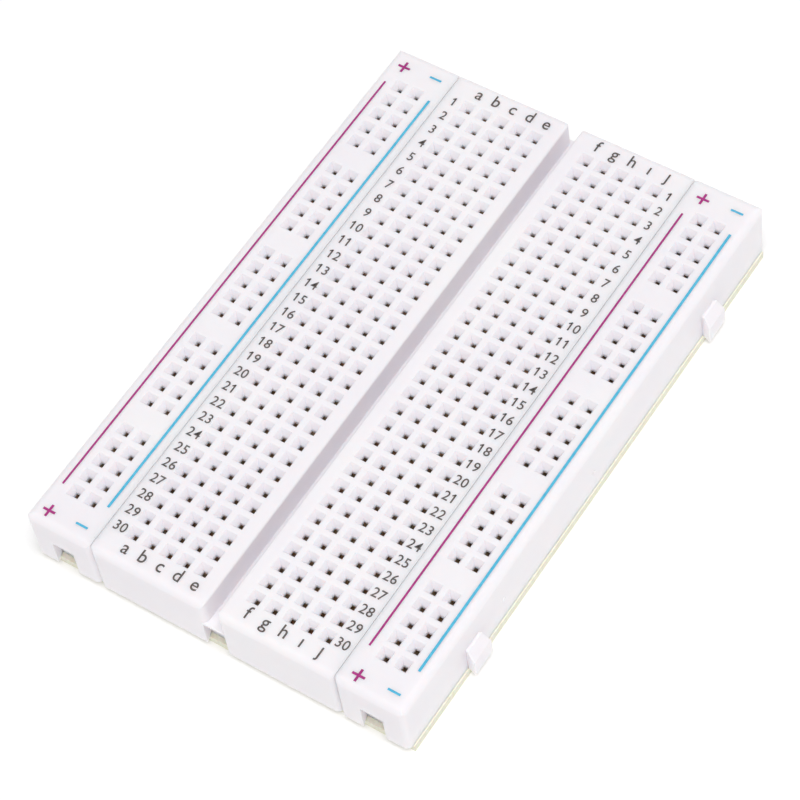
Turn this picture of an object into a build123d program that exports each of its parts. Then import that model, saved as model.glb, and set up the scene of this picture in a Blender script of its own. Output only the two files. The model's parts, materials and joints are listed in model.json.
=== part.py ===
from build123d import *
import os

# Half-size solderless breadboard, in millimetres.
# +X runs across the board from socket column a to column j, +Y along it towards socket row 1, +Z up.
# The origin is under the middle of the socket grid, on the face that the board rests on.

# Socket grid
PITCH = 2.54
SOCKET_ROWS = 30
SOCKETS_PER_CLIP = 5
BANK_GAP = 7.62              # between the two socket columns beside the trench
BUS_SPACING = 2.54           # between the two socket columns of a power rail
BUS_GROUPS = 5
SOCKETS_PER_BUS_GROUP = 5
BUS_GROUP_PITCH = 15.24

# Mouldings
BOARD_LENGTH = 82.5
BLOCK_WIDTH = 35.1
RAIL_WIDTH = 9.6
MOULDING_HEIGHT = 8.5
SEAM_CLEARANCE = 0.05        # between neighbouring mouldings
RIM_RADIUS = 1.0             # round on the outer top edges
SEAM_RADIUS = 0.05           # round on the top edges along a seam
CORNER_RADIUS = 0.8          # round on the upright corners

# Trench between the two socket banks
TRENCH_WIDTH = 2.0
TRENCH_BRIDGE = 0.4          # plastic between the trench floor and the end slot below it
TRENCH_LIP_RADIUS = 0.25
TRENCH_MOUTH_RADIUS = 0.9

# Sockets
FUNNEL_WIDTH = 1.7
FUNNEL_DEPTH = 1.05
THROAT_WIDTH = 0.7
TOP_WALL = 1.5               # plastic above the clip cavities
CAVITY_WIDTH = 1.9
CAVITY_END = 1.05            # from the last socket's centre to the cavity's end

# Dovetails that join boards and rails
TAB_NECK = 2.9
TAB_WIDTH = 3.75
TAB_REACH = 1.3
TAB_TOP_REACH = 0.35
TAB_SHOULDER = 2.6           # height where the tab's slope starts
TAB_HEIGHT = 4.1
TAB_CLEARANCE = 0.12
SIDE_TAB_OFFSET = 27.15      # from the middle of the long side to each tab

# Moulding marks on the outer face of the right rail
NIB_RADIUS = 0.3
NIB_PROUD = 0.12
NIB_SPACING = 20.32
NIB_DROP = 5.1               # below the top face

# Spring clips, bent from one strip
STRIP = 0.2
CLIP_SIDE_CLEARANCE = 0.15   # to each side wall of the cavity
CLIP_END_CLEARANCE = 0.15
CLIP_CHANNEL_HEIGHT = 1.3
CLIP_TIP_CLEARANCE = 0.25    # under the top wall
FINGER_WIDTH = 1.7
PINCH_DROP = 1.1             # from the finger tips to where the fingers meet
PINCH_GAP = 0.08
TIP_GAP = 0.8

# Backing
FOAM_THICKNESS = 1.0
LINER_THICKNESS = 0.12
BACKING_OVERHANG = 0.2       # beyond the plastic on the long sides
BACKING_RECESS = 0.75        # inside the plastic at the short ends

TRENCH_DEPTH = MOULDING_HEIGHT - TAB_HEIGHT - TAB_CLEARANCE - TRENCH_BRIDGE
CLIP_WIDTH = CAVITY_WIDTH - 2 * CLIP_SIDE_CLEARANCE
BACKING = FOAM_THICKNESS + LINER_THICKNESS
BACKING_LENGTH = BOARD_LENGTH - 2 * BACKING_RECESS
HALF_LENGTH = BOARD_LENGTH / 2
HALF_BLOCK = BLOCK_WIDTH / 2
RAIL_CENTRE = HALF_BLOCK + SEAM_CLEARANCE + RAIL_WIDTH / 2
SIDE_TABS = (-SIDE_TAB_OFFSET, SIDE_TAB_OFFSET)
LOW = (Align.CENTER, Align.CENTER, Align.MIN)


def row_y(row):
    """Y of a socket row, where row 1 is at the +Y end."""
    return ((SOCKET_ROWS + 1) / 2 - row) * PITCH


def bank_x(bank):
    """X of the middle of a socket bank, -1 for columns a to e and 1 for f to j."""
    return bank * (BANK_GAP / 2 + (SOCKETS_PER_CLIP - 1) / 2 * PITCH)


def clip_offsets():
    """Offsets of a five-way clip's sockets from its middle."""
    return [(i - (SOCKETS_PER_CLIP - 1) / 2) * PITCH for i in range(SOCKETS_PER_CLIP)]


def bus_offsets():
    """Y of the sockets along a power bus, in evenly spaced groups."""
    offsets = []
    for group in range(BUS_GROUPS):
        middle = (group - (BUS_GROUPS - 1) / 2) * BUS_GROUP_PITCH
        for i in range(SOCKETS_PER_BUS_GROUP):
            offsets.append(middle + (i - (SOCKETS_PER_BUS_GROUP - 1) / 2) * PITCH)
    return offsets


def end_profile(width, left_radius, right_radius):
    """Upright outline across X, with its two top corners rounded."""
    outline = Rectangle(width, MOULDING_HEIGHT, align=(Align.CENTER, Align.MIN))
    top = outline.vertices().group_by(Axis.Y)[-1].sort_by(Axis.X)
    outline = fillet(top[0], left_radius)
    top = outline.vertices().group_by(Axis.Y)[-1].sort_by(Axis.X)
    return fillet(top[-1], right_radius)


def moulding_blank(width, left_radius, right_radius):
    """Solid block of one moulding, centred on X = 0, with its bottom on z = 0."""
    plan = extrude(RectangleRounded(width, BOARD_LENGTH, CORNER_RADIUS), MOULDING_HEIGHT)
    across = Plane.XZ * end_profile(width, left_radius, right_radius)
    along = Plane.YZ * end_profile(BOARD_LENGTH, RIM_RADIUS, RIM_RADIUS)
    return plan & extrude(across, HALF_LENGTH, both=True) & extrude(along, width / 2, both=True)


def dovetail(reach, neck, height):
    """Upright dovetail prism that widens along +X from its neck on the Y axis."""
    flare = (TAB_WIDTH - TAB_NECK) / TAB_REACH
    outer = neck + flare * reach
    outline = Polyline((0, -neck / 2), (reach, -outer / 2), (reach, outer / 2), (0, neck / 2), close=True)
    return extrude(make_face(outline), height)


def tab():
    """Male dovetail along +X, with a sloping shoulder, standing on z = 0."""
    shoulder = (TAB_REACH, TAB_SHOULDER)
    top = (TAB_TOP_REACH, TAB_HEIGHT)
    side = make_face(Polyline((0, 0), (TAB_REACH, 0), shoulder, top, (0, TAB_HEIGHT), close=True))
    return dovetail(TAB_REACH, TAB_NECK, TAB_HEIGHT) & extrude(Plane.XZ * side, TAB_WIDTH, both=True)


def tab_space(height):
    """Room for a neighbour's tab along +X, with clearance all round it."""
    return dovetail(TAB_REACH + TAB_CLEARANCE, TAB_NECK + 2 * TAB_CLEARANCE, height)


def dovetails(half_width):
    """Tabs of one moulding on +X and +Y, and its slots on -X and -Y, open below and closed above."""
    slot = tab_space(TAB_HEIGHT + TAB_CLEARANCE)
    tabs = [Pos(half_width, y, 0) * tab() for y in SIDE_TABS]
    tabs.append(Pos(0, HALF_LENGTH, 0) * Rot(0, 0, 90) * tab())
    slots = [Pos(-half_width, y, 0) * slot for y in SIDE_TABS]
    slots.append(Pos(0, -HALF_LENGTH, 0) * Rot(0, 0, 90) * slot)
    return tabs, slots


def socket():
    """Square funnel and throat of one socket, cut down from the top face into a cavity."""
    mouth = Pos(0, 0, MOULDING_HEIGHT) * Rectangle(FUNNEL_WIDTH, FUNNEL_WIDTH)
    bottom = Pos(0, 0, MOULDING_HEIGHT - FUNNEL_DEPTH) * Rectangle(THROAT_WIDTH, THROAT_WIDTH)
    funnel = loft([mouth, bottom], ruled=True)
    throat = Box(THROAT_WIDTH, THROAT_WIDTH, TOP_WALL - FUNNEL_DEPTH, align=LOW)
    return funnel + Pos(0, 0, MOULDING_HEIGHT - TOP_WALL) * throat


def cavity(width, length):
    """Straight-sided pocket that holds a clip, open at the underside."""
    return Box(width, length, MOULDING_HEIGHT - TOP_WALL, align=LOW)


def terminal_block():
    """Middle moulding with its two socket banks and the trench between them."""
    body = moulding_blank(BLOCK_WIDTH, SEAM_RADIUS, SEAM_RADIUS)
    body = body - trench()
    tabs, slots = dovetails(HALF_BLOCK)
    body = body + tabs
    body = body - slots
    pocket_length = (SOCKETS_PER_CLIP - 1) * PITCH + 2 * CAVITY_END
    cuts = []
    for bank in (-1, 1):
        for row in range(1, SOCKET_ROWS + 1):
            cuts.append(Pos(bank_x(bank), row_y(row), 0) * cavity(pocket_length, CAVITY_WIDTH))
            cuts += [Pos(bank_x(bank) + x, row_y(row), 0) * socket() for x in clip_offsets()]
    return Pos(0, 0, BACKING) * (body - cuts)


def trench():
    """Channel between the banks, with rounded lips and mouths that flare at both ends."""
    channel = Box(TRENCH_WIDTH, BOARD_LENGTH, TRENCH_DEPTH, align=LOW)
    pieces = [Pos(0, 0, MOULDING_HEIGHT - TRENCH_DEPTH) * channel]
    for side in (-1, 1):
        wall = side * TRENCH_WIDTH / 2
        lip = extrude(Plane.XZ * corner_sliver(side, -1, TRENCH_LIP_RADIUS), HALF_LENGTH, both=True)
        pieces.append(Pos(wall, 0, MOULDING_HEIGHT) * lip)
        for end in (-1, 1):
            flare = extrude(corner_sliver(side, -end, TRENCH_MOUTH_RADIUS), TRENCH_DEPTH)
            pieces.append(Pos(wall, end * HALF_LENGTH, MOULDING_HEIGHT - TRENCH_DEPTH) * flare)
    return pieces


def corner_sliver(x_sign, y_sign, radius):
    """Region between a square corner at the origin and the round that replaces it."""
    square = Pos(x_sign * radius / 2, y_sign * radius / 2) * Rectangle(radius, radius)
    return square - Pos(x_sign * radius, y_sign * radius) * Circle(radius)


def power_rail(side, with_nibs):
    """Moulding of one power rail, -1 for the left one and 1 for the right one."""
    left_radius = RIM_RADIUS if side < 0 else SEAM_RADIUS
    right_radius = RIM_RADIUS if side > 0 else SEAM_RADIUS
    body = moulding_blank(RAIL_WIDTH, left_radius, right_radius)
    tabs, slots = dovetails(RAIL_WIDTH / 2)
    body = body + tabs
    body = body - slots
    run = bus_offsets()[-1] - bus_offsets()[0] + 2 * CAVITY_END
    cuts = []
    for bus in (-1, 1):
        x = bus * BUS_SPACING / 2
        cuts.append(Pos(x, 0, 0) * cavity(CAVITY_WIDTH, run))
        cuts += [Pos(x, y, 0) * socket() for y in bus_offsets()]
    body = body - cuts
    if with_nibs:
        nib = Rot(0, 90, 0) * Cylinder(NIB_RADIUS, NIB_PROUD, align=LOW)
        body = body + [Pos(RAIL_WIDTH / 2, y, MOULDING_HEIGHT - NIB_DROP) * nib for y in (-NIB_SPACING, 0)]
    return Pos(side * RAIL_CENTRE, 0, BACKING) * body


def clip(offsets, end_margin):
    """Spring clip along X: a folded channel with a pair of pinching fingers at each socket."""
    tip = MOULDING_HEIGHT - TOP_WALL - CLIP_TIP_CLEARANCE
    pinch = tip - PINCH_DROP
    length = offsets[-1] - offsets[0] + 2 * (end_margin - CLIP_END_CLEARANCE)
    middle = (offsets[0] + offsets[-1]) / 2
    half = CLIP_WIDTH / 2
    base = Pos(middle, 0, 0) * Box(length, CLIP_WIDTH, STRIP, align=LOW)
    finger = make_face(
        Polyline(
            (half, 0),
            (half, CLIP_CHANNEL_HEIGHT),
            (PINCH_GAP / 2 + STRIP, pinch),
            (TIP_GAP / 2 + STRIP, tip),
            (TIP_GAP / 2, tip),
            (PINCH_GAP / 2, pinch),
            (half - STRIP, CLIP_CHANNEL_HEIGHT),
            (half - STRIP, 0),
            close=True,
        )
    )
    leaf = extrude(Plane.YZ * finger, FINGER_WIDTH / 2, both=True)
    wall = Pos(middle, half - STRIP / 2, 0) * Box(length, STRIP, CLIP_CHANNEL_HEIGHT, align=LOW)
    pieces = [wall] + [Pos(x, 0, 0) * leaf for x in offsets]
    mirrored = [mirror(piece, Plane.XZ) for piece in pieces]
    return base + pieces + mirrored


def row_clips():
    """Two five-way clips for each socket row, one in each bank."""
    one = Pos(0, 0, BACKING) * clip(clip_offsets(), CAVITY_END)
    nodes = {}
    for row in range(1, SOCKET_ROWS + 1):
        pair = [Pos(bank_x(bank), row_y(row), 0) * one for bank in (-1, 1)]
        nodes[f"terminal_clips_row_{row:02d}"] = Compound(children=pair)
    return nodes


def bus_clips():
    """Four long clips, one under each column of power sockets."""
    one = Pos(0, 0, BACKING) * Rot(0, 0, 90) * clip(bus_offsets(), CAVITY_END)
    nodes = {}
    for rail, side in (("left", -1), ("right", 1)):
        for pole, bus in (("positive", -1), ("negative", 1)):
            nodes[f"{rail}_{pole}_bus_clip"] = Pos(side * RAIL_CENTRE + bus * BUS_SPACING / 2, 0, 0) * one
    return nodes


def foam_strip(start, end, relieved):
    """Adhesive foam from X start to X end, cut back under the slots on its -X edge where it is relieved."""
    strip = Pos((start + end) / 2, 0, 0) * Box(end - start, BACKING_LENGTH, FOAM_THICKNESS, align=LOW)
    if relieved:
        strip = strip - [Pos(start, y, 0) * tab_space(FOAM_THICKNESS) for y in SIDE_TABS]
    return Pos(0, 0, LINER_THICKNESS) * strip


def backing():
    """Adhesive foam under each moulding, slit at the seams, over one release liner."""
    edge = RAIL_CENTRE + RAIL_WIDTH / 2 + BACKING_OVERHANG
    seam = HALF_BLOCK + SEAM_CLEARANCE
    return {
        "foam_tape_left": foam_strip(-edge, -seam, relieved=False),
        "foam_tape_middle": foam_strip(-HALF_BLOCK, HALF_BLOCK, relieved=True),
        "foam_tape_right": foam_strip(seam, edge, relieved=True),
        "release_liner": Box(2 * edge, BACKING_LENGTH, LINER_THICKNESS, align=LOW),
    }


def build():
    """All nodes of the breadboard by name."""
    nodes = {
        "left_power_rail": power_rail(-1, with_nibs=False),
        "terminal_block": terminal_block(),
        "right_power_rail": power_rail(1, with_nibs=True),
    }
    nodes.update(bus_clips())
    nodes.update(row_clips())
    nodes.update(backing())
    return nodes


os.makedirs("parts", exist_ok=True)
for name, shape in build().items():
    export_step(shape, f"parts/{name}.step")
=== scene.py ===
"""Half-size solderless breadboard: finishes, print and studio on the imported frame.

Every size is in metres. X runs across the board, Y along it towards socket row 1 and Z up,
with z = 0 on the face that the board rests on.
"""

import json
import logging
import math
from dataclasses import dataclass
from enum import Enum

import bpy
from mathutils import Euler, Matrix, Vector

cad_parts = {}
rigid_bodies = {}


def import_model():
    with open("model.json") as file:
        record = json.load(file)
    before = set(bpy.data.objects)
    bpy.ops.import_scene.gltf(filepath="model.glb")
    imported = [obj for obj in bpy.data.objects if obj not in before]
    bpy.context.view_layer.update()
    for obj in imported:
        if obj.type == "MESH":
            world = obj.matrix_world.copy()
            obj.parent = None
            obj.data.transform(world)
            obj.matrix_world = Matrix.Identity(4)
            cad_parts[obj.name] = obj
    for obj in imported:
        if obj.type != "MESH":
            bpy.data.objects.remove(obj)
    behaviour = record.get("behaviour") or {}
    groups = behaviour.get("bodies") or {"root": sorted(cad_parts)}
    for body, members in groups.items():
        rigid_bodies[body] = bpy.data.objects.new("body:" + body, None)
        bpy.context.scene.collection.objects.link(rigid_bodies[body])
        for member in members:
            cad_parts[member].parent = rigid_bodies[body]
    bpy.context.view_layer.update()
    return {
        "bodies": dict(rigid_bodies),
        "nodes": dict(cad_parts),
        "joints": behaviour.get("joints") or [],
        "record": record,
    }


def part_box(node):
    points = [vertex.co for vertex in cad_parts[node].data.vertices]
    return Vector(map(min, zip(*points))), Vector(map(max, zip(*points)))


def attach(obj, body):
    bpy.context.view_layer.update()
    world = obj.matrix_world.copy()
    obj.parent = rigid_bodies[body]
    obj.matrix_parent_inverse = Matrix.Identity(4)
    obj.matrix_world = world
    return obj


LOG = logging.getLogger("breadboard")
MM = 0.001

PATTERN_CORE = (0.3, 0.7)  # nearly all of a noise pattern lies between these
BAR_CORNER = 0.2  # corner radii of ink bars, as shares of the bar's narrow side
STROKE_CORNER = 0.1

Colour = tuple[float, float, float]


class Ink(Enum):
    """Pad-print inks, by the record's material slot."""

    POSITIVE = "positive_ink"
    NEGATIVE = "negative_ink"
    LEGEND = "legend_ink"


class Rail(Enum):
    """Power rails, by the body that each one rides on."""

    LEFT = "left_rail"
    RIGHT = "right_rail"

    @property
    def side(self) -> int:
        """Side of the board, -1 for the left one and 1 for the right one."""
        return -1 if self is Rail.LEFT else 1

    def bus(self, pole: str) -> str:
        """CAD node of the rail's bus clip for the pole "positive" or "negative"."""
        return f"{self.name.lower()}_{pole}_bus_clip"


def linear(colour: Colour) -> tuple[float, float, float, float]:
    """Turn a screen colour into the linear one that a shader takes.

    Args:
        colour: Red, green and blue from 0 to 255.

    Returns:
        Linear red, green, blue and an alpha of 1.
    """
    shares = [c / 255 for c in colour]
    return (*[s / 12.92 if s <= 0.04045 else ((s + 0.055) / 1.055) ** 2.4 for s in shares], 1.0)


# Modelling helpers


def clear_selection() -> None:
    """Leave edit mode and deselect every object."""
    if bpy.context.object and bpy.context.object.mode != "OBJECT":
        bpy.ops.object.mode_set(mode="OBJECT")
    bpy.ops.object.select_all(action="DESELECT")


def activate(piece: bpy.types.Object) -> None:
    """Select one object alone and make it the active one.

    Args:
        piece: The object that the next operators act on.
    """
    clear_selection()
    piece.select_set(True)
    bpy.context.view_layer.objects.active = piece


def settle(piece: bpy.types.Object) -> None:
    """Put an object's place, turn and scale into its mesh.

    Args:
        piece: The object, left at the origin.
    """
    activate(piece)
    bpy.ops.object.transform_apply(location=True, rotation=True, scale=True)


def pick(piece: bpy.types.Object, kind: str, wanted: list[int]) -> None:
    """Enter edit mode on an object with only certain edges or faces selected.

    Args:
        piece: Mesh object to edit.
        kind: "EDGE" or "FACE".
        wanted: Their indices.
    """
    activate(piece)
    bpy.ops.object.mode_set(mode="EDIT")
    bpy.ops.mesh.select_mode(type=kind)
    bpy.ops.mesh.select_all(action="DESELECT")
    bpy.ops.object.mode_set(mode="OBJECT")
    parts = piece.data.edges if kind == "EDGE" else piece.data.polygons
    for index in wanted:
        parts[index].select = True
    bpy.ops.object.mode_set(mode="EDIT")


def join(pieces: list[bpy.types.Object], name: str) -> bpy.types.Object:
    """Join several mesh objects into one.

    Args:
        pieces: Two or more objects, all at the origin.
        name: Name of the joined object.

    Returns:
        The joined object.
    """
    clear_selection()
    for piece in pieces:
        piece.select_set(True)
    bpy.context.view_layer.objects.active = pieces[0]
    bpy.ops.object.join()
    joined = bpy.context.view_layer.objects.active
    joined.name = joined.data.name = name
    return joined


def dress(piece: bpy.types.Object, material: bpy.types.Material) -> None:
    """Give an object one material all over.

    Args:
        piece: Mesh object.
        material: Its finish.
    """
    if not piece.data.materials:
        piece.data.materials.append(material)
    for slot in piece.material_slots:
        slot.material = material


# Finishes


class Recipe:
    """Node tree of one finish, on Object coordinates."""

    def __init__(self, name: str) -> None:
        """Start a material with its surface shader.

        Args:
            name: Name of the material.
        """
        self.material = bpy.data.materials.new(name)
        self.material.use_nodes = True
        self.tree = self.material.node_tree
        self.shader = self.tree.nodes["Principled BSDF"]
        self.where = self.tree.nodes.new("ShaderNodeTexCoord").outputs["Object"]

    def put(self, socket: str, value: float | tuple) -> None:
        """Set an even value on the surface shader."""
        self.shader.inputs[socket].default_value = value

    def link(self, source: bpy.types.NodeSocket, target: bpy.types.NodeSocket) -> None:
        """Join two sockets."""
        self.tree.links.new(source, target)

    def squeeze(self, scale: tuple[float, float, float]) -> bpy.types.NodeSocket:
        """Stretch or squeeze the pattern's coordinates.

        Args:
            scale: Factor along X, Y and Z.

        Returns:
            The changed coordinates.
        """
        node = self.tree.nodes.new("ShaderNodeMapping")
        node.inputs["Scale"].default_value = scale
        self.link(self.where, node.inputs["Vector"])
        return node.outputs["Vector"]

    def noise(
        self, size: float, detail: float = 2.0, at: bpy.types.NodeSocket | None = None
    ) -> bpy.types.NodeSocket:
        """Cloudy pattern.

        Args:
            size: Rough size of one patch.
            detail: Number of finer layers.
            at: Coordinates, or the plain ones.

        Returns:
            The pattern from 0 to 1.
        """
        node = self.tree.nodes.new("ShaderNodeTexNoise")
        node.inputs["Scale"].default_value = 1 / size
        node.inputs["Detail"].default_value = detail
        self.link(at or self.where, node.inputs["Vector"])
        return node.outputs["Fac"]

    def cells(self, size: float) -> bpy.types.NodeSocket:
        """Cellular pattern.

        Args:
            size: Rough size of one cell.

        Returns:
            Distance from the middle of each cell.
        """
        node = self.tree.nodes.new("ShaderNodeTexVoronoi")
        node.inputs["Scale"].default_value = 1 / size
        self.link(self.where, node.inputs["Vector"])
        return node.outputs["Distance"]

    def spread(self, pattern: bpy.types.NodeSocket, low: float, high: float) -> bpy.types.NodeSocket:
        """Spread the middle of a pattern between two values.

        Args:
            pattern: Pattern from 0 to 1.
            low: Value where it is weak.
            high: Value where it is strong.

        Returns:
            The spread values.
        """
        node = self.tree.nodes.new("ShaderNodeMapRange")
        node.inputs["From Min"].default_value = PATTERN_CORE[0]
        node.inputs["From Max"].default_value = PATTERN_CORE[1]
        node.inputs["To Min"].default_value = low
        node.inputs["To Max"].default_value = high
        self.link(pattern, node.inputs["Value"])
        return node.outputs["Result"]

    def tint(self, pattern: bpy.types.NodeSocket, first: Colour, second: Colour) -> None:
        """Colour the surface between two colours.

        Args:
            pattern: Pattern from 0 to 1.
            first: Screen colour where it is weak.
            second: Screen colour where it is strong.
        """
        node = self.tree.nodes.new("ShaderNodeMix")
        node.data_type = "RGBA"
        node.inputs["A"].default_value = linear(first)
        node.inputs["B"].default_value = linear(second)
        self.link(self.spread(pattern, 0.0, 1.0), node.inputs["Factor"])
        self.link(node.outputs["Result"], self.shader.inputs["Base Color"])

    def relief(self, height: bpy.types.NodeSocket, depth: float, strength: float) -> None:
        """Raise the surface by a pattern.

        Args:
            height: Pattern of heights from 0 to 1.
            depth: Height of its tallest parts.
            strength: Share of the effect.
        """
        node = self.tree.nodes.new("ShaderNodeBump")
        node.inputs["Distance"].default_value = depth
        node.inputs["Strength"].default_value = strength
        self.link(height, node.inputs["Height"])
        self.link(node.outputs["Normal"], self.shader.inputs["Normal"])


@dataclass(frozen=True)
class MouldedPlastic:
    """Satin white ABS with a faint mould texture."""

    pale: Colour = (247, 243, 247)
    deep: Colour = (243, 239, 244)
    cloud: float = 14 * MM
    sheen_patch: float = 3 * MM
    roughness: tuple[float, float] = (0.36, 0.48)
    grain: float = 0.16 * MM
    grain_depth: float = 0.01 * MM
    grain_strength: float = 0.35
    glow: float = 0.8
    glow_depth: float = 1.1 * MM
    glow_reach: tuple[float, float, float] = (1.0, 0.85, 0.8)
    refraction: float = 1.5
    shine: float = 0.28

    def build(self) -> bpy.types.Material:
        """Make the material."""
        recipe = Recipe("moulded_plastic")
        recipe.tint(recipe.noise(self.cloud, detail=3), self.deep, self.pale)
        rough = recipe.spread(recipe.noise(self.sheen_patch, detail=4), *self.roughness)
        recipe.link(rough, recipe.shader.inputs["Roughness"])
        recipe.put("Subsurface Weight", self.glow)
        recipe.put("Subsurface Radius", self.glow_reach)
        recipe.put("Subsurface Scale", self.glow_depth)
        recipe.put("IOR", self.refraction)
        recipe.put("Specular IOR Level", self.shine)
        recipe.relief(recipe.noise(self.grain, detail=3), self.grain_depth, self.grain_strength)
        return recipe.material


@dataclass(frozen=True)
class SpringMetal:
    """Rolled phosphor bronze strip with a thin plating."""

    bright: Colour = (226, 210, 184)
    dull: Colour = (188, 162, 130)
    patch: float = 1.2 * MM
    rolling: float = 0.08 * MM
    rolling_stretch: tuple[float, float, float] = (0.05, 1.0, 1.0)
    rolling_depth: float = 0.004 * MM
    rolling_strength: float = 0.4
    roughness: tuple[float, float] = (0.42, 0.6)

    def build(self) -> bpy.types.Material:
        """Make the material."""
        recipe = Recipe("spring_metal")
        recipe.tint(recipe.noise(self.patch, detail=4), self.dull, self.bright)
        recipe.put("Metallic", 1.0)
        rolled = recipe.noise(self.rolling, at=recipe.squeeze(self.rolling_stretch))
        recipe.link(recipe.spread(rolled, *self.roughness), recipe.shader.inputs["Roughness"])
        recipe.relief(rolled, self.rolling_depth, self.rolling_strength)
        return recipe.material


@dataclass(frozen=True)
class CellFoam:
    """Closed-cell foam tape with cut edges."""

    pale: Colour = (244, 242, 226)
    deep: Colour = (234, 231, 208)
    patch: float = 0.5 * MM
    cell: float = 0.22 * MM
    cell_depth: float = 0.05 * MM
    cell_strength: float = 0.7
    roughness: float = 0.9
    glow: float = 0.2
    glow_depth: float = 0.4 * MM

    def build(self) -> bpy.types.Material:
        """Make the material."""
        recipe = Recipe("cell_foam")
        recipe.tint(recipe.noise(self.patch, detail=3), self.deep, self.pale)
        recipe.put("Roughness", self.roughness)
        recipe.put("Subsurface Weight", self.glow)
        recipe.put("Subsurface Scale", self.glow_depth)
        recipe.relief(recipe.cells(self.cell), self.cell_depth, self.cell_strength)
        return recipe.material


@dataclass(frozen=True)
class WaxedPaper:
    """Release liner of glossy siliconed paper."""

    pale: Colour = (240, 236, 205)
    deep: Colour = (230, 224, 186)
    fibre: float = 0.6 * MM
    fibre_stretch: tuple[float, float, float] = (1.0, 0.25, 1.0)
    fibre_depth: float = 0.01 * MM
    fibre_strength: float = 0.4
    roughness: tuple[float, float] = (0.34, 0.5)

    def build(self) -> bpy.types.Material:
        """Make the material."""
        recipe = Recipe("waxed_paper")
        fibres = recipe.noise(self.fibre, detail=5, at=recipe.squeeze(self.fibre_stretch))
        recipe.tint(fibres, self.deep, self.pale)
        recipe.link(recipe.spread(fibres, *self.roughness), recipe.shader.inputs["Roughness"])
        recipe.relief(fibres, self.fibre_depth, self.fibre_strength)
        return recipe.material


@dataclass(frozen=True)
class PadInk:
    """Thin pad-print ink, a little uneven where it was laid down."""

    ink: Ink
    full: Colour
    thin: Colour
    patch: float = 0.35 * MM
    sheen_patch: float = 1.5 * MM
    roughness: tuple[float, float] = (0.4, 0.6)
    grain: float = 0.12 * MM
    grain_depth: float = 0.003 * MM
    grain_strength: float = 0.3

    def build(self) -> bpy.types.Material:
        """Make the material."""
        recipe = Recipe(self.ink.value)
        recipe.tint(recipe.noise(self.patch, detail=4), self.full, self.thin)
        rough = recipe.spread(recipe.noise(self.sheen_patch, detail=3), *self.roughness)
        recipe.link(rough, recipe.shader.inputs["Roughness"])
        recipe.relief(recipe.noise(self.grain), self.grain_depth, self.grain_strength)
        return recipe.material


@dataclass(frozen=True)
class StudioPaper:
    """Seamless white backdrop paper."""

    white: Colour = (252, 252, 252)
    lift: float = 0.06
    roughness: float = 0.95
    shine: float = 0.1

    def build(self) -> bpy.types.Material:
        """Make the material."""
        recipe = Recipe("studio_paper")
        recipe.put("Base Color", linear(self.white))
        recipe.put("Roughness", self.roughness)
        recipe.put("Specular IOR Level", self.shine)
        recipe.put("Emission Color", (1.0, 1.0, 1.0, 1.0))
        recipe.put("Emission Strength", self.lift)
        return recipe.material


INKS = {
    Ink.POSITIVE: PadInk(Ink.POSITIVE, (158, 28, 116), (182, 52, 138)),
    Ink.NEGATIVE: PadInk(Ink.NEGATIVE, (62, 174, 214), (90, 194, 228)),
    Ink.LEGEND: PadInk(Ink.LEGEND, (74, 68, 66), (106, 98, 94)),
}


# The board


@dataclass
class SocketGrid:
    """Places of the sockets: the banks' columns from the pitch, the rest from the clips under them."""

    rows: int = 30
    per_clip: int = 5
    pitch: float = 2.54 * MM
    bank_offset: float = 8.89 * MM

    def row_y(self, row: int) -> float:
        """Y of a socket row.

        Args:
            row: Row number from 1 to 30.

        Returns:
            Y of the middle of its two clips.
        """
        low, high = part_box(f"terminal_clips_row_{row:02d}")
        return (low.y + high.y) / 2

    def column_x(self, column: int) -> float:
        """X of a socket column.

        Args:
            column: Column from 0 for a to 9 for j.

        Returns:
            X of its sockets.
        """
        bank = -1 if column < self.per_clip else 1
        along = column % self.per_clip - (self.per_clip - 1) / 2
        return bank * self.bank_offset + along * self.pitch

    def bus_x(self, rail: Rail, pole: str) -> float:
        """X of a column of power sockets."""
        low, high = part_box(rail.bus(pole))
        return (low.x + high.x) / 2


@dataclass
class Mouldings:
    """The three plastic mouldings: a power rail on each side of the terminal block."""

    finish: MouldedPlastic
    nodes: tuple[str, ...] = ("left_power_rail", "terminal_block", "right_power_rail")

    def build(self, frame: dict) -> None:
        """Dress the mouldings.

        Args:
            frame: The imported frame.
        """
        material = self.finish.build()
        for node in self.nodes:
            dress(frame["nodes"][node], material)
            LOG.info("dressed %s", node)


@dataclass
class Clips:
    """Spring clips in their cavities."""

    finish: SpringMetal

    def build(self, frame: dict) -> None:
        """Dress every clip.

        Args:
            frame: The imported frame.
        """
        material = self.finish.build()
        clips = [node for node in frame["nodes"] if "clip" in node]
        for node in clips:
            dress(frame["nodes"][node], material)
        LOG.info("dressed %d clip nodes", len(clips))


@dataclass
class Backing:
    """Foam tape in three strips over its release liner."""

    foam: CellFoam
    paper: WaxedPaper

    def build(self, frame: dict) -> None:
        """Dress the foam and the liner.

        Args:
            frame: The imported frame.
        """
        foam = self.foam.build()
        for node in frame["nodes"]:
            if node.startswith("foam_tape"):
                dress(frame["nodes"][node], foam)
        dress(frame["nodes"]["release_liner"], self.paper.build())
        LOG.info("dressed the backing")


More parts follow.
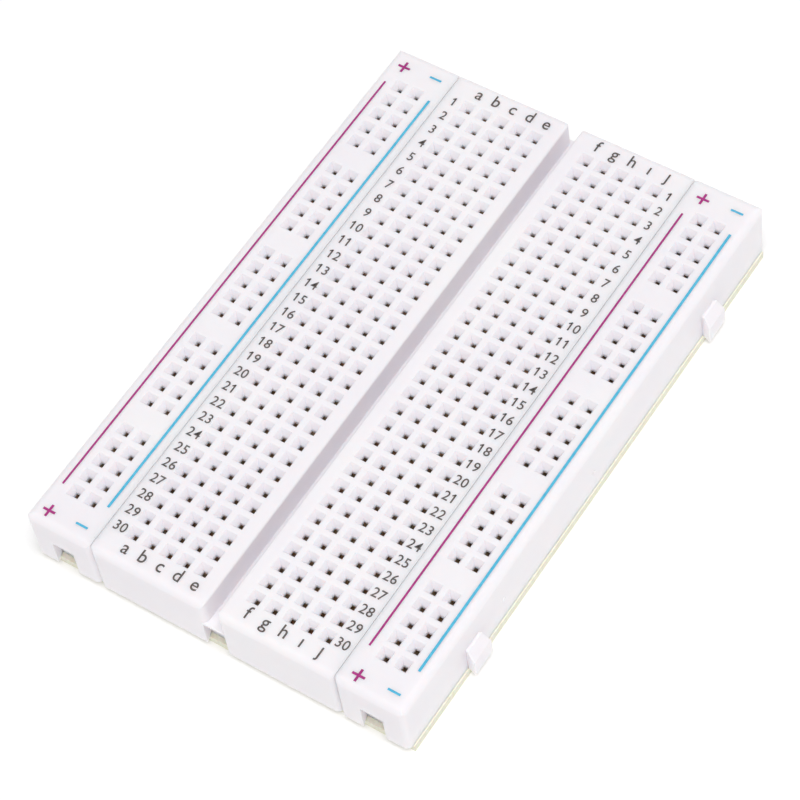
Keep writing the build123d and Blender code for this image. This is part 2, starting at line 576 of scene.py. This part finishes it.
@dataclass
class Printer:
    """Lays thin closed ink shapes on the top face.

    The flag of a numeral 1 is in shares of its stroke: reach and rise of the stroke's height, width of
    its width, and shift, which moves it to the left, of its own reach.
    """

    top: float
    thickness: float = 0.012 * MM
    corner_steps: int = 3
    curve_steps: int = 4
    weld_distance: float = 0.0005 * MM
    flag_reach: float = 0.34
    flag_angle: float = 38.0
    flag_rise: float = 0.84
    flag_width: float = 0.9
    flag_shift: float = 0.36

    def bar(
        self, centre: tuple[float, float], size: tuple[float, float], corner: float = BAR_CORNER
    ) -> bpy.types.Object:
        """Ink bar with slightly rounded corners.

        Args:
            centre: X and Y of its middle.
            size: Its size along X and Y.
            corner: Radius of its corners as a share of its narrow side.

        Returns:
            The bar.
        """
        clear_selection()
        bpy.ops.mesh.primitive_plane_add(size=1, location=(*centre, self.top))
        piece = bpy.context.object
        piece.scale = (*size, 1)
        settle(piece)
        self.thicken(piece)
        self.round_corners(piece, min(size) * corner)
        return piece

    def plus(self, centre: tuple[float, float], span: float, stroke: float) -> bpy.types.Object:
        """Ink plus sign.

        Args:
            centre: X and Y of its middle.
            span: Length of each bar.
            stroke: Width of each bar.

        Returns:
            The sign.
        """
        clear_selection()
        place = (*centre, self.top)
        bpy.ops.mesh.primitive_grid_add(x_subdivisions=3, y_subdivisions=3, size=2, location=place)
        piece = bpy.context.object
        settle(piece)
        half, thin = span / 2, stroke / 2
        between = 0.5  # the grid's lines lie a third and a whole from its middle
        middle = Vector(centre)
        for vertex in piece.data.vertices:
            for axis in (0, 1):
                step = vertex.co[axis] - middle[axis]
                reach = half if abs(step) > between else thin
                vertex.co[axis] = middle[axis] + math.copysign(reach, step)
        corners = [
            face.index
            for face in piece.data.polygons
            if all(abs(face.center[axis] - middle[axis]) > thin for axis in (0, 1))
        ]
        pick(piece, "FACE", corners)
        bpy.ops.mesh.delete(type="FACE")
        bpy.ops.object.mode_set(mode="OBJECT")
        self.thicken(piece)
        return piece

    def thicken(self, piece: bpy.types.Object) -> None:
        """Raise a flat ink shape to its thickness, closed underneath.

        Args:
            piece: Flat shape on the top face.
        """
        activate(piece)
        wall = piece.modifiers.new("ink", "SOLIDIFY")
        wall.thickness = self.thickness
        wall.offset = 1
        bpy.ops.object.modifier_apply(modifier=wall.name)

    def round_corners(self, piece: bpy.types.Object, radius: float) -> None:
        """Round the upright corners of an ink shape.

        Args:
            piece: Thickened shape.
            radius: Radius of the corners.
        """
        corners = piece.data.vertices
        upright = [
            edge.index
            for edge in piece.data.edges
            if abs(corners[edge.vertices[0]].co.z - corners[edge.vertices[1]].co.z) > self.thickness / 2
        ]
        pick(piece, "EDGE", upright)
        bpy.ops.mesh.bevel(offset=radius, segments=self.corner_steps)
        bpy.ops.object.mode_set(mode="OBJECT")

    def words(
        self, text: str, centre: tuple[float, float], size: float, squeeze: float, bold: float
    ) -> bpy.types.Object:
        """Ink lettering.

        Args:
            text: What it says.
            centre: X of its middle and Y of its baseline.
            size: Type size.
            squeeze: Width as a share of the plain letter's.
            bold: How far each stroke grows on both sides.

        Returns:
            The lettering.
        """
        clear_selection()
        bpy.ops.object.text_add(location=(0, 0, 0))
        piece = bpy.context.object
        piece.data.body = text
        piece.data.size = size
        piece.data.offset = bold
        piece.data.resolution_u = self.curve_steps
        piece.data.extrude = self.thickness / 2
        bpy.ops.object.convert(target="MESH")
        piece = bpy.context.object
        bpy.ops.object.mode_set(mode="EDIT")
        bpy.ops.mesh.select_all(action="SELECT")
        bpy.ops.mesh.remove_doubles(threshold=self.weld_distance)
        bpy.ops.object.mode_set(mode="OBJECT")
        across = [vertex.co.x for vertex in piece.data.vertices]
        middle = (min(across) + max(across)) / 2
        piece.scale.x = squeeze
        piece.location = (centre[0] - middle * squeeze, centre[1], self.top + self.thickness / 2)
        settle(piece)
        return piece

    def stroke(self, foot: tuple[float, float], height: float, width: float) -> bpy.types.Object:
        """Plain upright stroke with a flag at the left of its top, as in a numeral 1.

        Args:
            foot: X of its middle and Y of its foot.
            height: Height of the stroke.
            width: Width of the stroke.

        Returns:
            The stroke and its flag.
        """
        x, y = foot
        reach = height * self.flag_reach
        upright = self.bar((x, y + height / 2), (width, height), STROKE_CORNER)
        flag = self.bar((0.0, 0.0), (reach, width * self.flag_width), STROKE_CORNER)
        flag.rotation_euler.z = math.radians(self.flag_angle)
        flag.location = (x - reach * self.flag_shift, y + height * self.flag_rise, 0.0)
        settle(flag)
        return join([upright, flag], "stroke")


@dataclass
class RailPrint:
    """Coloured polarity lines and signs of one power rail.

    The line offsets run from a column of sockets to the line on the rail's outer and inner side. The
    line widths are the positive and the negative line's, and the Y pairs the near and the far sign's.
    """

    rail: Rail
    grid: SocketGrid
    printer: Printer
    line_offsets: tuple[float, float] = (2.03 * MM, 2.26 * MM)
    line_length: float = 70.9 * MM
    line_widths: tuple[float, float] = (0.27 * MM, 0.35 * MM)
    plus_offset: float = 1.16 * MM
    plus_y: tuple[float, float] = (-39.35 * MM, 38.6 * MM)
    plus_span: float = 1.75 * MM
    plus_stroke: float = 0.33 * MM
    minus_offset: float = 1.03 * MM
    minus_y: tuple[float, float] = (-39.1 * MM, 38.85 * MM)
    minus_size: tuple[float, float] = (1.75 * MM, 0.3 * MM)

    def build(self, inks: dict[Ink, bpy.types.Material]) -> None:
        """Print the rail.

        Args:
            inks: Material of each ink.
        """
        for pole, ink, side in (("positive", Ink.POSITIVE, -1), ("negative", Ink.NEGATIVE, 1)):
            x = self.grid.bus_x(self.rail, pole)
            width = self.line_widths[ink is Ink.NEGATIVE]
            offset = self.line_offsets[side * self.rail.side < 0]
            shapes = [self.printer.bar((x + side * offset, 0.0), (width, self.line_length))]
            for end in (0, 1):
                if ink is Ink.POSITIVE:
                    place = (x - self.plus_offset, self.plus_y[end])
                    shapes.append(self.printer.plus(place, self.plus_span, self.plus_stroke))
                else:
                    place = (x + self.minus_offset, self.minus_y[end])
                    shapes.append(self.printer.bar(place, self.minus_size))
            piece = join(shapes, f"{self.rail.value}_{pole}_print")
            dress(piece, inks[ink])
            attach(piece, self.rail.value)
            LOG.info("printed %s", piece.name)


@dataclass
class Legend:
    """Row numbers and column letters on the terminal block, the letters i and j without their dots."""

    grid: SocketGrid
    printer: Printer
    number_x: tuple[float, float] = (-15.95 * MM, 16.1 * MM)
    number_height: float = 1.3 * MM
    number_squeeze: float = 0.95
    number_bold: float = 0.009 * MM
    digit_pitch: float = 0.96 * MM
    stroke_width: float = 0.2 * MM
    letter_height: float = 1.12 * MM
    letter_squeeze: float = 0.95
    letter_bold: float = 0.012 * MM
    letter_y: tuple[float, float] = (-39.75 * MM, 38.6 * MM)
    letter_shift: float = 0.4 * MM
    letters: str = "abcdefgh\u0131\u0237"

    def type_size(self, sample: str, height: float) -> float:
        """Type size at which a sample has a certain height.

        Args:
            sample: Text to measure.
            height: Height it should have.

        Returns:
            The type size.
        """
        trial = self.printer.words(sample, (0.0, 0.0), 1.0, 1.0, 0.0)
        tall = [vertex.co.y for vertex in trial.data.vertices]
        bpy.data.objects.remove(trial)
        return height / (max(tall) - min(tall))

    def build(self, ink: bpy.types.Material) -> None:
        """Print the numbers and letters.

        Args:
            ink: Material of the ink.
        """
        size = self.type_size("1", self.number_height)
        for side, x in zip(("left", "right"), self.number_x, strict=True):
            marks = []
            for row in range(1, self.grid.rows + 1):
                foot = (x, self.grid.row_y(row) - self.number_height / 2)
                marks += self.numeral(str(row), foot, size)
            self.lay(marks, f"row_numbers_{side}", ink)
        size = self.type_size("x", self.letter_height)
        for end, y in zip(("near", "far"), self.letter_y, strict=True):
            marks = []
            for column, letter in enumerate(self.letters):
                place = (self.grid.column_x(column) + self.letter_shift, y)
                mark = self.printer.words(letter, place, size, self.letter_squeeze, self.letter_bold)
                marks.append(mark)
            self.lay(marks, f"column_letters_{end}", ink)

    def numeral(self, digits: str, foot: tuple[float, float], size: float) -> list[bpy.types.Object]:
        """Row number, digit by digit at an even pitch.

        Args:
            digits: One or two digits.
            foot: X of its middle and Y of its baseline.
            size: Type size.

        Returns:
            The digits.
        """
        marks = []
        for place, digit in enumerate(digits):
            x = foot[0] + (place - (len(digits) - 1) / 2) * self.digit_pitch
            base = (x, foot[1])
            if digit == "1":
                mark = self.printer.stroke(base, self.number_height, self.stroke_width)
            else:
                mark = self.printer.words(digit, base, size, self.number_squeeze, self.number_bold)
            marks.append(mark)
        return marks

    def lay(self, marks: list[bpy.types.Object], name: str, ink: bpy.types.Material) -> None:
        """Join marks into one print piece on the terminal block.

        Args:
            marks: Pieces of lettering.
            name: Name of the joined piece.
            ink: Its material.
        """
        piece = join(marks, name)
        dress(piece, ink)
        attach(piece, "middle_block")
        LOG.info("printed %s", name)


# The studio


@dataclass
class Softbox:
    """One square white area light aimed at the board."""

    name: str
    place: tuple[float, float, float]
    size: float
    power: float

    def build(self) -> None:
        """Hang the light."""
        data = bpy.data.lights.new(self.name, "AREA")
        data.size = self.size
        data.energy = self.power
        light = bpy.data.objects.new(self.name, data)
        bpy.context.scene.collection.objects.link(light)
        light.location = self.place
        light.rotation_euler = (-Vector(self.place)).to_track_quat("-Z", "Y").to_euler()


@dataclass
class Studio:
    """White floor, sky, key light and the camera."""

    paper: StudioPaper
    floor_size: float = 3.0
    sky: float = 0.46
    key_place: tuple[float, float, float] = (0.29, -0.22, 1.15)
    key_size: float = 0.8
    key_power: float = 9.7
    camera_place: tuple[float, float, float] = (145.92 * MM, -163.98 * MM, 321.77 * MM)
    camera_turn: tuple[float, float, float] = (33.903, 5.887, 33.268)
    lens: float = 140.73
    film: float = 36.0
    clip: tuple[float, float] = (0.01, 10.0)

    def build(self) -> None:
        """Lay the floor, light it and place the camera."""
        self.lay_floor()
        self.light()
        self.place_camera()
        LOG.info("studio ready")

    def lay_floor(self) -> None:
        """Floor under the board."""
        clear_selection()
        bpy.ops.mesh.primitive_plane_add(size=self.floor_size, location=(0, 0, 0))
        floor = bpy.context.object
        floor.name = "studio_floor"
        dress(floor, self.paper.build())

    def light(self) -> None:
        """Even sky and one softbox."""
        scene = bpy.context.scene
        scene.world = bpy.data.worlds.new("studio_sky")
        scene.world.use_nodes = True
        sky = scene.world.node_tree.nodes["Background"]
        sky.inputs["Color"].default_value = (1.0, 1.0, 1.0, 1.0)
        sky.inputs["Strength"].default_value = self.sky
        Softbox("key_light", self.key_place, self.key_size, self.key_power).build()
        scene.view_settings.view_transform = "Standard"

    def place_camera(self) -> None:
        """Camera on the near right corner, with a slight roll."""
        data = bpy.data.cameras.new("camera")
        data.lens = self.lens
        data.sensor_width = self.film
        data.clip_start, data.clip_end = self.clip
        camera = bpy.data.objects.new("camera", data)
        bpy.context.scene.collection.objects.link(camera)
        camera.location = self.camera_place
        camera.rotation_euler = Euler([math.radians(angle) for angle in self.camera_turn])
        bpy.context.scene.camera = camera


def main() -> None:
    """Build every piece."""
    logging.basicConfig(level=logging.INFO, format="%(name)s: %(message)s")
    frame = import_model()
    Studio(StudioPaper()).build()
    Mouldings(MouldedPlastic()).build(frame)
    Clips(SpringMetal()).build(frame)
    Backing(CellFoam(), WaxedPaper()).build(frame)
    grid = SocketGrid()
    printer = Printer(top=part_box("terminal_block")[1].z)
    inks = {ink: finish.build() for ink, finish in INKS.items()}
    for rail in Rail:
        RailPrint(rail, grid, printer).build(inks)
    Legend(grid, printer).build(inks[Ink.LEGEND])


if __name__ == "__main__":
    main()
